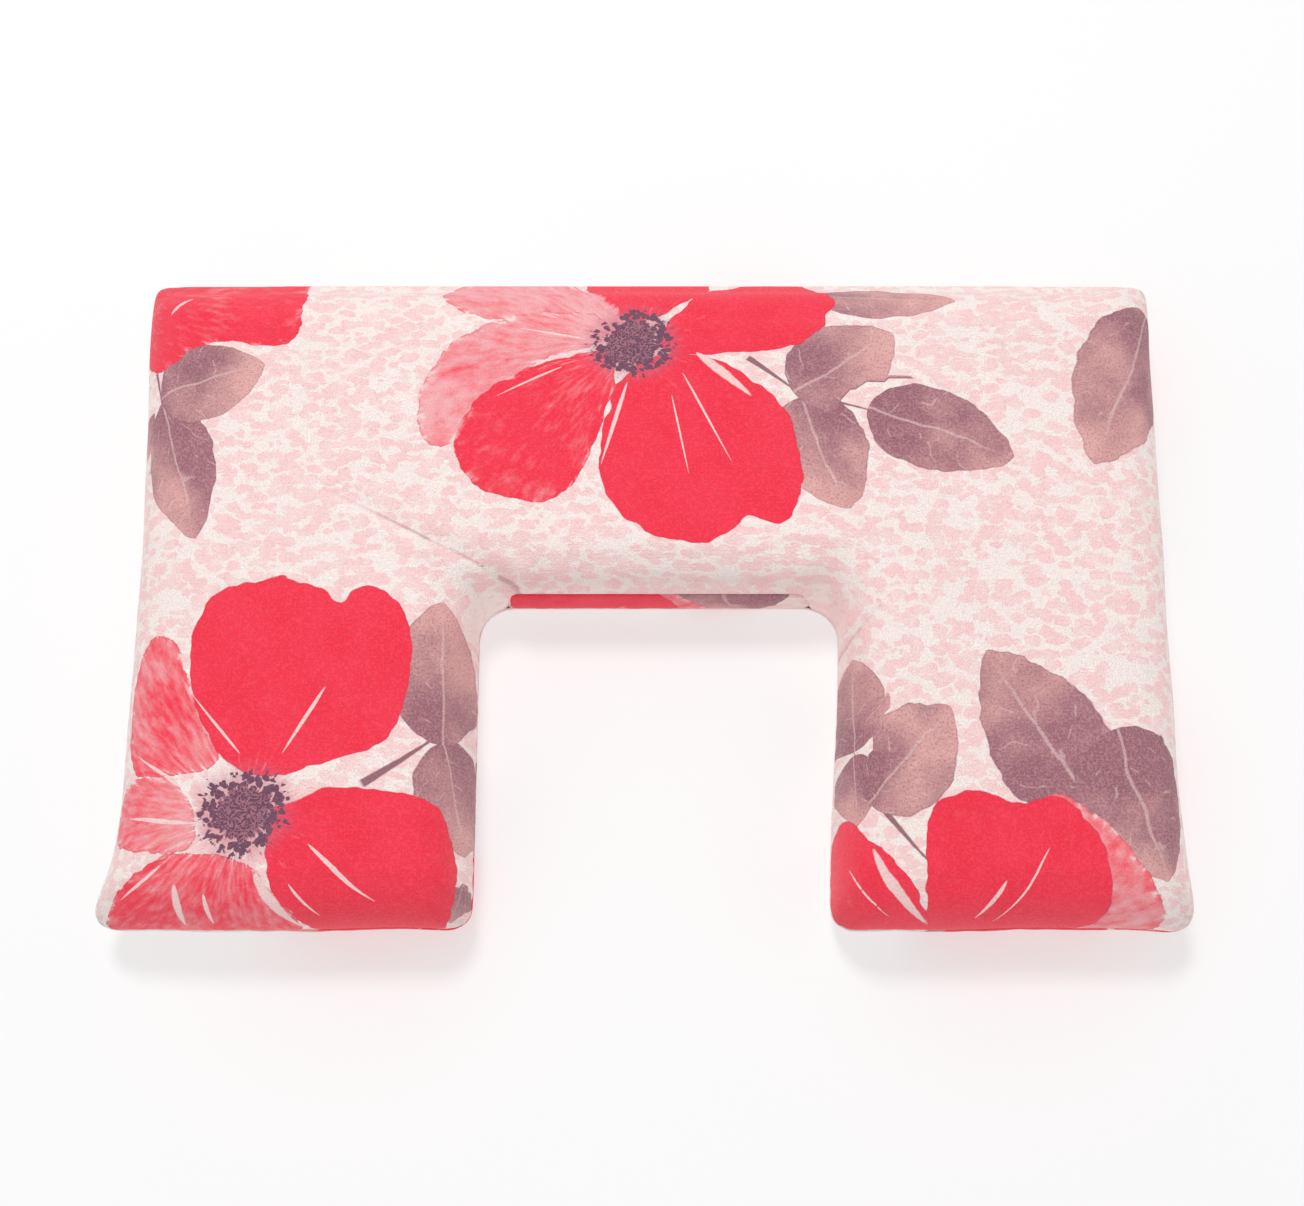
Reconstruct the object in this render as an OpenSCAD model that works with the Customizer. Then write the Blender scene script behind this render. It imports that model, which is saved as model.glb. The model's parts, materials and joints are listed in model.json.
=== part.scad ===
// Nursing pillow: a flat U-shaped foam cushion in a zipped printed cotton cover.
// Origin under the middle of the cushion, on the surface it rests on.
// +X runs to the user's right, +Y to the long back edge, away from the notch.

/* [Cushion] */
// Width across both arms
cushion_w = 600; // [500:5:760]
// Depth from the arm ends to the back edge
cushion_d = 380; // [300:5:480]
// Height of the filled cushion
cushion_h = 80; // [64:1:110]
// Radius of the soft edges, and of the corners seen from above
edge_r = 14; // [11:0.5:18]

/* [Notch] */
// Width of the notch between the arms
notch_w = 200; // [150:5:260]
// Depth of the notch from the arm ends
notch_d = 190; // [120:5:240]
// Radius of the two inner corners of the notch
notch_r = 20; // [12:1:30]

/* [Cover] */
// Thickness of the printed cotton
cover_t = 1; // [0.6:0.1:1.4]
// Height of the seam round the outside of the cushion
outer_seam_z = 40; // [34:1:46]
// Height of the seam along the inner sides of the arms
inner_seam_z = 16; // [14:1:22]
// Height of the lower seam of the notch gusset
gusset_low_z = 16; // [14:1:22]
// Height of the upper seam of the notch gusset
gusset_high_z = 46; // [40:1:50]

/* [Filling] */
// Thickness of the liner cloth
liner_t = 0.8; // [0.5:0.1:1.2]
// Thickness of the wadding between liner and foam
wadding_t = 5; // [3:0.5:6]

/* [Zip] */
// Length of the chain between the outer ends of its stops
zip_l = 440; // [300:5:445]
// Width of one tape
tape_w = 12; // [10:0.5:14]
// Thickness of a tape
tape_t = 0.5; // [0.3:0.1:0.8]
// Length of tape sewn in behind the cover past each end of the chain
tape_tail = 10; // [6:1:14]
// How far the heads of a coil stand past the edge of its tape
head_overhang = 0.3; // [0.1:0.1:0.5]
// Pitch of the coil's turns
coil_pitch = 2.5; // [2:0.1:3.5]
// Width of one turn along the zip
coil_turn = 1.3; // [0.9:0.1:1.5]
// Width of one coil, from its heads to its back
coil_w = 2.2; // [1.8:0.1:3]
// Height of a coil above its tape
coil_h = 2.2; // [1.6:0.1:3]
// Length of a stop along the zip
stop_l = 2.5; // [2:0.5:4]
// Thickness of the metal in a stop
stop_t = 0.35; // [0.2:0.05:0.4]

/* [Slider] */
// Length of the slider
slider_l = 13; // [11:0.5:15]
// How much further the slider reaches on each side at its divided end
slider_flare = 0.9; // [0.5:0.1:1.2]
// Thickness of the slider's outer wing
outer_wing_t = 0.8; // [0.6:0.1:1.2]
// Thickness of the slider's inner wing
inner_wing_t = 0.6; // [0.4:0.1:1]
// Width of the divider between the wings
divider_w = 0.8; // [0.6:0.1:1.2]
// Running gap between the slider and the tapes, coils and pull
run_gap = 0.25; // [0.2:0.05:0.4]
// Gap between the divider and the heads of each coil
divider_gap = 0.2; // [0.15:0.05:0.4]
// Room between the slider and each folded edge of the cover
fold_gap = 1.2; // [0.8:0.1:3]
// Room between the slider's inner wing and the liner
liner_gap = 0.3; // [0.2:0.1:1]
// Length of the divider
divider_l = 2.5; // [2:0.5:4]
// Length of the bridge that holds the pull
bridge_l = 6.4; // [5:0.2:8]
// Width of the bridge
bridge_w = 2.4; // [2:0.1:3]
// Thickness of the bridge
bridge_t = 0.7; // [0.6:0.1:1]
// Radius of the pull's cross bar
pull_bar_r = 0.6; // [0.5:0.05:0.8]
// Length of the pull from its cross bar to its tip
pull_l = 26; // [20:1:34]
// Width of the pull
pull_w = 7; // [6.5:0.5:9]
// Thickness of the pull
pull_t = 1; // [0.8:0.1:1.2]
// Room between the bridge's end and the pull's plate
eye_gap = 1.2; // [0.8:0.1:2]
// Radius of the hole in the pull's tip
pull_hole_r = 1.6; // [1:0.1:2.2]

/* [Hidden] */
$fn = 48;

half_w = cushion_w / 2;
half_d = cushion_d / 2;
half_notch = notch_w / 2;
notch_back_y = notch_d - half_d;
inset_x = half_w - edge_r;
inset_y = half_d - edge_r;
past = 1; // how far a cutting shape runs past what it cuts

// Each layer is [distance inside the walls, distance inside the top and the base].
// The slider's inner wing runs between the cover and the liner.
zip_depth = tape_t + run_gap + inner_wing_t;
cover_out = [0, 0];
cover_in = [cover_t, cover_t];
liner_out = [cover_t + zip_depth + liner_gap, cover_t];
liner_in = liner_out + [liner_t, liner_t];
foam_out = liner_in + [wadding_t, wadding_t];
mid_z = cushion_h / 2;

// ---------------------------------------------------------------- layers of the cushion

// Half section of a filled layer, from the inset line outwards, with rounded edges.
module section(layer) {
    r = edge_r - layer[0];
    low = layer[1] + r;
    high = cushion_h - low;
    intersection() {
        square([edge_r, cushion_h]);
        union() {
            translate([0, low]) square([r, high - low]);
            for (z = [low, high]) translate([0, z]) circle(r);
        }
    }
}

// Half section of a skin between two layers, kept between two heights.
module skin_section(outer, inner, z) {
    intersection() {
        difference() {
            section(outer);
            section(inner);
        }
        translate([-past, z[0]]) square([edge_r + 2 * past, z[1] - z[0]]);
    }
}

// One straight stretch of wall. It starts at a point and faces the given way.
module wall(start, facing, length) {
    translate([start[0], start[1], 0]) rotate([90, 0, facing]) linear_extrude(length) children();
}

module convex_corner(centre, turn) {
    translate([centre[0], centre[1], 0]) rotate([0, 0, turn]) rotate_extrude(angle = 90) children();
}

module concave_corner(centre, turn) {
    translate([centre[0], centre[1], 0]) rotate([0, 0, turn]) rotate_extrude(angle = 90)
        translate([notch_r + edge_r, 0]) mirror([1, 0]) children();
}

// Sides, back and arm ends, with their six outward corners.
module outside_walls() {
    wall([inset_x, inset_y], 0, 2 * inset_y) children();
    wall([-inset_x, -inset_y], 180, 2 * inset_y) children();
    wall([-inset_x, inset_y], 90, 2 * inset_x) children();
    arm_end = inset_x - half_notch - edge_r;
    wall([inset_x, -inset_y], -90, arm_end) children();
    wall([-half_notch - edge_r, -inset_y], -90, arm_end) children();
    convex_corner([inset_x, inset_y], 0) children();
    convex_corner([-inset_x, inset_y], 90) children();
    convex_corner([-inset_x, -inset_y], 180) children();
    convex_corner([half_notch + edge_r, -inset_y], 180) children();
    convex_corner([-half_notch - edge_r, -inset_y], 270) children();
    convex_corner([inset_x, -inset_y], 270) children();
}

// Inner sides of both arms, with the two rounded corners of the notch.
module arm_walls() {
    length = notch_d - notch_r - edge_r;
    wall([half_notch + edge_r, -inset_y], 180, length) children();
    wall([-half_notch - edge_r, notch_back_y - notch_r], 0, length) children();
    concave_corner([half_notch - notch_r, notch_back_y - notch_r], 0) children();
    concave_corner([notch_r - half_notch, notch_back_y - notch_r], 90) children();
}

module notch_wall() {
    wall([half_notch - notch_r, notch_back_y + edge_r], -90, notch_w - 2 * notch_r) children();
}

// Plan of the flat area inside the rounded edges.
module flat_plan() {
    difference() {
        square([2 * inset_x, 2 * inset_y], center = true);
        translate([-half_notch - edge_r, -half_d]) square([notch_w + 2 * edge_r, notch_d - notch_r]);
        translate([notch_r - half_notch, -half_d]) square([notch_w - 2 * notch_r, notch_d + edge_r]);
        for (side = [-1, 1])
            translate([side * (half_notch - notch_r), notch_back_y - notch_r]) circle(notch_r + edge_r);
    }
}

// A skin between two layers. outside, arms and back give the heights that it spans
// on each run of wall, and flat gives the heights of its flat sheet.
module skin(outer, inner, outside, arms, back, flat) {
    outside_walls() skin_section(outer, inner, outside);
    arm_walls() skin_section(outer, inner, arms);
    notch_wall() skin_section(outer, inner, back);
    translate([0, 0, flat[0]]) linear_extrude(flat[1] - flat[0]) flat_plan();
}

module upper_half(outer, inner) {
    z = [mid_z, cushion_h];
    skin(outer, inner, z, z, z, [cushion_h - inner[1], cushion_h - outer[1]]);
}

module lower_half(outer, inner) {
    z = [0, mid_z];
    skin(outer, inner, z, z, z, [outer[1], inner[1]]);
}

module cover_top_panel() {
    color("mistyrose") difference() {
        skin(cover_out, cover_in, [outer_seam_z, cushion_h], [inner_seam_z, cushion_h],
            [gusset_high_z, cushion_h], [cushion_h - cover_t, cushion_h]);
        zip_window_cut();
    }
}

module cover_bottom_panel() {
    color("pink") difference() {
        skin(cover_out, cover_in, [0, outer_seam_z], [0, inner_seam_z],
            [0, gusset_low_z], [0, cover_t]);
        zip_window_cut();
    }
}

// Strip let into the back of the notch, where neither panel can fold down.
module notch_gusset() {
    color("crimson") notch_wall() skin_section(cover_out, cover_in, [gusset_low_z, gusset_high_z]);
}

module liner_top() {
    color("white") upper_half(liner_out, liner_in);
}

module liner_bottom() {
    color("white") lower_half(liner_out, liner_in);
}

module wadding_top() {
    color("ivory") upper_half(liner_in, foam_out);
}

module wadding_bottom() {
    color("ivory") lower_half(liner_in, foam_out);
}

module foam_core() {
    color("lemonchiffon") {
        outside_walls() section(foam_out);
        arm_walls() section(foam_out);
        notch_wall() section(foam_out);
        translate([0, 0, foam_out[1]]) linear_extrude(cushion_h - 2 * foam_out[1]) flat_plan();
    }
}

// ---------------------------------------------------------------- zip in the back wall
// In the zip's own axes +X runs to its closed end, +Z points out of the cushion, and
// the cover's inner face is at Z = 0.

chain_end = zip_l / 2;
coil_end = chain_end - stop_l;
coil_head = divider_w / 2 + divider_gap;
coil_back = coil_head + coil_w;
tape_edge = coil_head + head_overhang;
slider_out_z = coil_h + run_gap;
slider_in_z = -tape_t - run_gap;
flange_in = coil_back + run_gap;
narrow_end = flange_in + outer_wing_t;
wide_end = narrow_end + slider_flare;
zip_window = 2 * (wide_end + fold_gap);
slider_x = coil_end - slider_l / 2 - 2 * run_gap;
bridge_base = slider_out_z + outer_wing_t;
bridge_open_z = 2 * (pull_bar_r + run_gap);
bar_z = bridge_base + bridge_open_z / 2;

module on_back_wall() {
    translate([0, half_d - cover_t, outer_seam_z]) rotate([-90, 0, 0]) children();
}

module zip_window_cut() {
    on_back_wall() translate([-chain_end - stop_l, -zip_window / 2, -past])
        cube([2 * (chain_end + stop_l), zip_window, cover_t + 2 * past]);
}

module zip_tape(side) {
    low = side > 0 ? tape_edge : -tape_edge - tape_w;
    color("white") on_back_wall() translate([-chain_end - tape_tail, low, -tape_t])
        cube([2 * (chain_end + tape_tail), tape_w, tape_t]);
}

// A row of coil turns joined along its back. The two rows are half a pitch apart.
module zip_coil(side) {
    turns = floor((2 * coil_end - coil_turn) / coil_pitch - 0.5);
    shoulder = coil_back - coil_w / 3;
    first = -coil_end + (side > 0 ? 0 : coil_pitch / 2);
    comb = [for (i = [0 : turns - 1]) let (x = first + i * coil_pitch)
        each [[x, shoulder], [x, coil_head], [x + coil_turn, coil_head], [x + coil_turn, shoulder]]];
    back = [[coil_end, shoulder], [coil_end, coil_back], [-coil_end, coil_back]];
    start = side > 0 ? [] : [[-coil_end, shoulder]];
    color("white") on_back_wall() mirror([0, side > 0 ? 0 : 1, 0])
        linear_extrude(coil_h) polygon(concat(comb, back, start));
}

// A metal clip folded round the inner edge of a tape, in place of the coil.
module tape_clip(side) {
    mirror([0, side > 0 ? 0 : 1, 0]) difference() {
        translate([0, coil_head, -tape_t - stop_t])
            cube([stop_l, coil_w, coil_h + tape_t + 2 * stop_t]);
        translate([-past, tape_edge, -tape_t]) cube([stop_l + 2 * past, coil_w, tape_t]);
    }
}

module zip_top_stop(side) {
    color("silver") on_back_wall() translate([coil_end, 0, 0]) tape_clip(side);
}

// The bottom stop clips both tapes and holds them together.
module zip_bottom_stop() {
    color("silver") on_back_wall() translate([-chain_end, 0, 0]) {
        for (side = [-1, 1]) tape_clip(side);
        translate([0, -coil_head, -tape_t - stop_t])
            cube([stop_l, 2 * coil_head, coil_h + tape_t + 2 * stop_t]);
    }
}

// Outline of a wing: wide at the divided end, narrower where the chain leaves it.
module wing_plan() {
    front = slider_l / 2;
    side = [
        [front, narrow_end], [front - slider_flare, wide_end], [front / 2, wide_end],
        [0, narrow_end], [-front, narrow_end],
    ];
    polygon(concat(side, [for (i = [len(side) - 1 : -1 : 0]) [side[i][0], -side[i][1]]]));
}

module slider_bridge() {
    difference() {
        translate([-bridge_l / 2, -bridge_w / 2, bridge_base])
            cube([bridge_l, bridge_w, bridge_open_z + bridge_t]);
        translate([-bridge_l / 2 + bridge_t, -bridge_w / 2 - past, bridge_base])
            cube([bridge_l - 2 * bridge_t, bridge_w + 2 * past, bridge_open_z]);
    }
}

module zip_slider() {
    color("silver") on_back_wall() translate([slider_x, 0, 0]) {
        translate([0, 0, slider_out_z]) linear_extrude(outer_wing_t) wing_plan();
        translate([0, 0, slider_in_z - inner_wing_t]) linear_extrude(inner_wing_t) wing_plan();
        translate([slider_l / 2 - divider_l, -divider_w / 2, slider_in_z - inner_wing_t])
            cube([divider_l, divider_w, slider_out_z - slider_in_z + inner_wing_t + outer_wing_t]);
        for (side = [-1, 1])
            translate([-slider_l / 2, side > 0 ? flange_in : -flange_in - outer_wing_t, run_gap])
                cube([slider_l, outer_wing_t, slider_out_z]);
        slider_bridge();
    }
}

// The pull lies back along the closed chain. Its cross bar turns under the bridge.
module zip_pull() {
    arm_in = bridge_w / 2 + run_gap;
    eye_l = bridge_l / 2 + eye_gap;
    tip_r = pull_w / 2;
    color("silver") on_back_wall() translate([slider_x, 0, bar_z]) {
        rotate([90, 0, 0]) translate([0, 0, -tip_r]) cylinder(r = pull_bar_r, h = pull_w);
        translate([0, 0, -pull_t / 2]) linear_extrude(pull_t) difference() {
            union() {
                translate([-pull_l + tip_r, -tip_r]) square([pull_l - tip_r, pull_w]);
                translate([-pull_l + tip_r, 0]) circle(tip_r);
            }
            translate([-eye_l, -arm_in]) square([eye_l + past, 2 * arm_in]);
            translate([-pull_l + tip_r, 0]) circle(pull_hole_r);
        }
    }
}

cover_top_panel();
cover_bottom_panel();
notch_gusset();
liner_top();
liner_bottom();
wadding_top();
wadding_bottom();
foam_core();
zip_tape(-1);  // zip_tape_upper
zip_tape(1);  // zip_tape_lower
zip_coil(-1);  // zip_coil_upper
zip_coil(1);  // zip_coil_lower
zip_top_stop(-1);  // zip_top_stop_upper
zip_top_stop(1);  // zip_top_stop_lower
zip_bottom_stop();
zip_slider();
zip_pull();
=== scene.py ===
import json
import math

import bmesh
import bpy
import numpy as np
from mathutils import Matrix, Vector

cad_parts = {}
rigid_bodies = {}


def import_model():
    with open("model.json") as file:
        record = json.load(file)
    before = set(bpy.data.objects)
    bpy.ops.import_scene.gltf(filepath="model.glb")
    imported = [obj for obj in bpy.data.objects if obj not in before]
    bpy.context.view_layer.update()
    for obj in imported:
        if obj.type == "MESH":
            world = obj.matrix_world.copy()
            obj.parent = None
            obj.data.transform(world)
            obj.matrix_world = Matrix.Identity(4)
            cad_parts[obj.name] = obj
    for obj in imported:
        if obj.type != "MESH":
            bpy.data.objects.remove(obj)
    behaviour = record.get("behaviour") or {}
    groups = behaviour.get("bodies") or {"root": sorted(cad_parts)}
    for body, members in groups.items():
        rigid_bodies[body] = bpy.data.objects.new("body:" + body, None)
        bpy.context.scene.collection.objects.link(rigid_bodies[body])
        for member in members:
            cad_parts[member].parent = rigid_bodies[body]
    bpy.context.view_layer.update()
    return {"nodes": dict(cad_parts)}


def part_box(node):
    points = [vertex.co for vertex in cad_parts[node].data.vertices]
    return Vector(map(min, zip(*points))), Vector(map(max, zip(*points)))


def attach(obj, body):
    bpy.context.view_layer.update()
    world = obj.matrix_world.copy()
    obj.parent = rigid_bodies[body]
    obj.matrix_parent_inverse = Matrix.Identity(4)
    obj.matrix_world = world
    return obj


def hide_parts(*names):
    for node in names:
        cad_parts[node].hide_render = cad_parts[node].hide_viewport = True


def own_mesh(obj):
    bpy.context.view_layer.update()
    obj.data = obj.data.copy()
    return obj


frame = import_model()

# ---------------------------------------------------------------- the studio
# The cushion lies on a white sweep. One large soft light hangs high behind it and to its
# left, the white room fills the shadows, and the sweep is lit a little from below.
scene = bpy.context.scene
scene.view_settings.view_transform = "Standard"

camera = bpy.data.objects.new("camera", bpy.data.cameras.new("camera"))
scene.collection.objects.link(camera)
camera.data.lens, camera.data.sensor_width = 50, 36
aim, distance, elevation = Vector((0.001, -0.003, 0.040)), 1.0475, math.radians(74.5)
away = Vector((0, -math.cos(elevation), math.sin(elevation)))
camera.location = aim + away * distance
camera.rotation_euler = away.to_track_quat("Z", "Y").to_euler()
scene.camera = camera

world = bpy.data.worlds.new("white_room")
world.use_nodes = True
world.node_tree.nodes["Background"].inputs["Color"].default_value = (1, 1, 1, 1)
world.node_tree.nodes["Background"].inputs["Strength"].default_value = 0.66
scene.world = world

softbox = bpy.data.objects.new("softbox", bpy.data.lights.new("softbox", "AREA"))
scene.collection.objects.link(softbox)
softbox.data.shape, softbox.data.size = "DISK", 0.45
softbox.data.energy = 17
softbox.location = (-0.22, 0.72, 2.1)
softbox.rotation_euler = Vector(softbox.location).to_track_quat("Z", "Y").to_euler()

bpy.ops.mesh.primitive_plane_add(size=12)
sweep = bpy.context.object
sweep.name = "sweep"
paper = bpy.data.materials.new("white_paper")
paper.use_nodes = True
for socket, value in (("Base Color", (0.50, 0.50, 0.50, 1)), ("Roughness", 0.95),
                      ("Emission Color", (1, 1, 1, 1)), ("Emission Strength", 0.49)):
    paper.node_tree.nodes["Principled BSDF"].inputs[socket].default_value = value
sweep.data.materials.append(paper)

# ---------------------------------------------------------------- foam core
# One slab of open-cell polyurethane foam, cut to the U with a wire. It gives the cushion
# its flat faces, and every other layer is a skin over it.
half_width, half_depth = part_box("cover_bottom_panel")[1][:2]
top_height, side_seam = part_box("cover_top_panel")[1][2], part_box("cover_bottom_panel")[1][2]
gusset_low, gusset_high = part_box("notch_gusset")
notch_radius = 0.020
notch_turn = (gusset_high[0], gusset_low[1] - notch_radius)

notch_spread, notch_widest, notch_fades = 0.62, 0.06, 0.15
corner_radius, corner_reach = 0.013, 0.050
edge_reach, edge_power = 0.026, 2.2
notch_reach, notch_power = 0.024, 2.7
base_reach, base_power = 0.022, 1.9
zip_wall_power = {True: 2.6, False: 3.2}
taken_by_drop = 0.75  # share of a wall's height that the flat cloth has for it


def rise(inset, reach, power):
    """Share of its full height that a rounded edge has at a distance in from its seam."""
    left = 1 - np.clip(inset / reach, 0, 1)
    return (1 - left ** power) ** (1 / power)


def ease(x, start, end):
    """0 before start and 1 after end, with a smooth change between."""
    x = np.clip((x - start) / (end - start), 0, 1)
    return x * x * (3 - 2 * x)


def rounded(x, y, radius):
    """Moves points on square rings about the origin onto rings with a rounded corner."""
    ring = np.maximum(np.maximum(x, y), 1e-9)
    r = np.minimum(radius(ring), ring)
    straight = ring - r
    share = np.where(x >= y, y / (2 * ring), 1 - x / (2 * ring))
    run = share * (2 * straight + math.pi / 2 * r)
    turn = np.clip((run - straight) / np.maximum(r, 1e-9), 0, math.pi / 2)
    after = np.clip(run - straight - math.pi / 2 * r, 0, None)
    return straight + r * np.cos(turn) - after, np.minimum(run, straight) + r * np.sin(turn)


class SoftU:
    """A lattice of points over the U, at a depth below the cover's outer face."""

    def __init__(self, depth, step):
        rows = 9 if depth == 0 else 6
        turn = np.linspace(0, math.pi / 2, rows)
        outer = (edge_reach - depth) * (1 - np.cos(turn) ** (2 / edge_power))
        inner = (notch_reach - depth) * (1 - np.cos(turn) ** (2 / notch_power))
        wide, deep = half_width - depth, half_depth - depth
        notch, back = notch_turn[0] + notch_radius + depth, notch_turn[1] + notch_radius + depth

        def spread(start, end):
            return np.linspace(start, end, max(2, round((end - start) / step) + 1))

        half = [spread(0, notch), notch + inner, spread(notch + inner[-1], wide - outer[-1]),
                wide - outer]
        half = np.unique(np.round(np.concatenate(half), 6))
        across = np.concatenate([-half[:0:-1], half])
        along = [outer - deep, spread(outer[-1] - deep, back), back + inner,
                 spread(back + inner[-1], deep - outer[-1]), deep - outer]
        along = np.unique(np.round(np.concatenate(along), 6))
        x, y = (a.ravel() for a in np.meshgrid(across, along))
        used = (np.abs(x) > notch - 1e-6) | (y > back - 1e-6)
        self.number = np.where(used, np.cumsum(used) - 1, -1).reshape(len(along), len(across))
        corners = self.number[:-1, :-1], self.number[:-1, 1:], self.number[1:, 1:], self.number[1:, :-1]
        quads = np.stack([c.ravel() for c in corners], 1)
        middle_x = np.repeat(((across[:-1] + across[1:]) / 2)[None], len(along) - 1, 0).ravel()
        middle_y = np.repeat((along[:-1] + along[1:]) / 2, len(across) - 1)
        self.quads = quads[(np.abs(middle_x) > notch) | (middle_y > back)]
        self.flat = np.stack([x[used], y[used]], 1)
        self.depth, self.wide, self.deep, self.notch, self.back = depth, wide, deep, notch, back
        x, y = self.flat.T
        self.in_side, self.in_end = wide - np.abs(x), deep - np.abs(y)
        self.ring = np.maximum(np.abs(x) - notch_turn[0], y - notch_turn[1])
        self.in_notch = self.ring - notch_radius - depth
        beside, behind = np.maximum(np.abs(x) - notch_turn[0], 0), np.maximum(y - notch_turn[1], 0)
        self.round_share = np.where(beside >= y - notch_turn[1], behind / (2 * self.ring),
                                    1 - beside / (2 * self.ring))
        self.plan = self.round_corners()

    def round_corners(self):
        """Plan positions with the outer corners and the notch's inner corners rounded."""
        plan = self.flat.copy()
        pull = self.wide - corner_reach, self.deep - corner_reach
        inner = self.notch + corner_reach
        soft = lambda ring: corner_radius * (ring / corner_reach) ** 0.7
        notch_soft = lambda ring: np.where(
            ring < notch_widest, notch_radius + notch_spread * (ring - notch_radius),
            (notch_radius + notch_spread * (notch_widest - notch_radius))
            * (1 - ease(ring, notch_widest, notch_fades)))
        corners = [(sx * pull[0], sy * pull[1], sx, sy, soft) for sx in (-1, 1) for sy in (-1, 1)]
        corners += [(s * inner, -pull[1], -s, -1, soft) for s in (-1, 1)]
        corners += [(s * notch_turn[0], notch_turn[1], s, 1, notch_soft) for s in (-1, 1)]
        for cx, cy, sx, sy, radius in corners:
            px, py = (self.flat[:, 0] - cx) * sx, (self.flat[:, 1] - cy) * sy
            reach = 1 if radius is notch_soft else corner_reach + 1e-6
            near = (px > 0) & (py > 0) & (px < reach) & (py < reach)
            qx, qy = rounded(px[near], py[near], radius)
            plan[near] = np.stack([cx + sx * qx, cy + sy * qy], 1)
        return plan

    def face(self, up, end_seam, notch_seam):
        """One face's points, and where each lies on the flat cloth, given its seams' heights."""
        soft = (edge_reach, edge_power, notch_reach, notch_power) if up else (base_reach, base_power) * 2
        reach, power, n_reach, n_power = soft
        end_power = np.where(self.flat[:, 1] > 0, zip_wall_power[up], power)
        g_side = rise(self.in_side, reach - self.depth, power)
        g_end = rise(self.in_end, reach - self.depth, end_power)
        g_notch = rise(self.in_notch, n_reach - self.depth, n_power)
        seams = [(side_seam, 1 - g_side), (end_seam, 1 - g_end), (notch_seam, 1 - g_notch)]
        weight = sum(w for _, w in seams) + 1e-6
        seam = (sum(s * w for s, w in seams) + side_seam * 1e-6) / weight
        flat = top_height - self.depth if up else self.depth
        z = seam + (flat - seam) * g_side * g_end * g_notch
        points = np.column_stack([self.plan, z])
        drape = taken_by_drop * np.abs(flat - seam)
        cloth = self.plan.copy()
        cloth[:, 0] += np.sign(self.flat[:, 0]) * drape * (1 - g_side)
        cloth[:, 1] += np.sign(self.flat[:, 1]) * drape * (1 - g_end)
        turn = np.column_stack([np.clip(self.plan[:, 0], -notch_turn[0], notch_turn[0]),
                                np.minimum(self.plan[:, 1], notch_turn[1])])
        away_from_turn = self.plan - turn
        far = np.linalg.norm(away_from_turn, axis=1)
        cloth += away_from_turn * (np.exp(-drape * (1 - g_notch) / np.maximum(far, 1e-6)) - 1)[:, None]
        return points, cloth


# How far the filling draws the outline in or lets it out, in millimetres, left and right.
waist_draw, side_draw, front_draw = (5.5, 3.0), 2.2, 2.4
corner_slack, corner_flare, notch_skew, back_lean = (8.0, 4.0), 3.0, 10.0, 7.0


def slump(points):
    """The outline of the stuffed U: drawn in, with slack front corners and the notch a little askew."""
    x, y, z = points.T * 1000
    wide, deep = half_width * 1000, half_depth * 1000
    side, end = ease(np.abs(x), wide - 60, wide), ease(-y, deep - 40, deep)
    x = x + side * np.exp(-((y + 15) / 100) ** 2) * np.where(x < 0, waist_draw[0], -waist_draw[1])
    x = x - side * np.sign(x) * (side_draw + front_draw * ease(-y, 60, 130))
    x = x + side * (0.6 * np.sin(y / 31 + np.sign(x)) + 0.2 * np.sin(y / 13))
    slack = np.exp(-((np.abs(x) - 294) ** 2 + (y + 184) ** 2) / 22 ** 2)
    slack = slack * (0.3 + 0.7 * np.exp(-((z - 40) / 22) ** 2))
    flare = side * corner_flare * np.exp(-((x + wide) ** 2 + (y + deep) ** 2) / 48 ** 2)
    x = x - flare + slack * np.where(x < 0, -corner_slack[0], corner_slack[1])
    beside_notch = ease(x, 30, 95) * (1 - ease(x, 110, 230))
    x = x + notch_skew * beside_notch * np.where(y < 0, 1 - 0.9 * ease(-y, 10, deep), 1 - ease(y, 0, 90))
    y = y + end * (0.6 * np.sin(x / 29) + 0.2 * np.sin(x / 11 + 2)) - 1.5 * slack
    y = y - back_lean * ease(y, 110, 178) * ease(z, 55.5, 68)
    return np.column_stack([x, y, z]) / 1000


def store(mesh, name, values):
    """Keeps two or three values under a name at each point of a mesh."""
    values = np.column_stack([values, np.zeros((len(values), 3 - values.shape[1]))])
    mesh.attributes.new(name, "FLOAT_VECTOR", "POINT").data.foreach_set("vector", values.ravel())


def cloth_object(name, points, faces, **fields):
    """A smooth mesh object made of points and faces, with named values at its points."""
    mesh = bpy.data.meshes.new(name)
    mesh.from_pydata([tuple(p) for p in points], [], [tuple(int(i) for i in f) for f in faces])
    for field, values in fields.items():
        store(mesh, field, values)
    mesh.shade_smooth()
    made = bpy.data.objects.new(name, mesh)
    scene.collection.objects.link(made)
    return made


def finished(piece):
    """Applies a piece's modifiers to its mesh."""
    depsgraph = bpy.context.evaluated_depsgraph_get()
    mesh = bpy.data.meshes.new_from_object(piece.evaluated_get(depsgraph))
    piece.modifiers.clear()
    piece.data = mesh
    mesh.shade_smooth()
    return piece


def rows_of(data, what):
    """What is kept for each point, three values to a row."""
    flat = np.empty(len(data) * 3)
    data.foreach_get(what, flat)
    return flat.reshape(-1, 3)


def add_node(tree, kind, settings, inputs):
    """Adds a node, with its settings and the values or links of its inputs, and gives its outputs."""
    made = tree.nodes.new(kind)
    for setting, value in (settings or {}).items():
        setattr(made, setting, value)
    for socket, value in (inputs or {}).items():
        value = getattr(value, "socket", value)
        if isinstance(value, bpy.types.NodeSocket):
            tree.links.new(value, made.inputs[socket])
        else:
            made.inputs[socket].default_value = value
    return made.outputs


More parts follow.
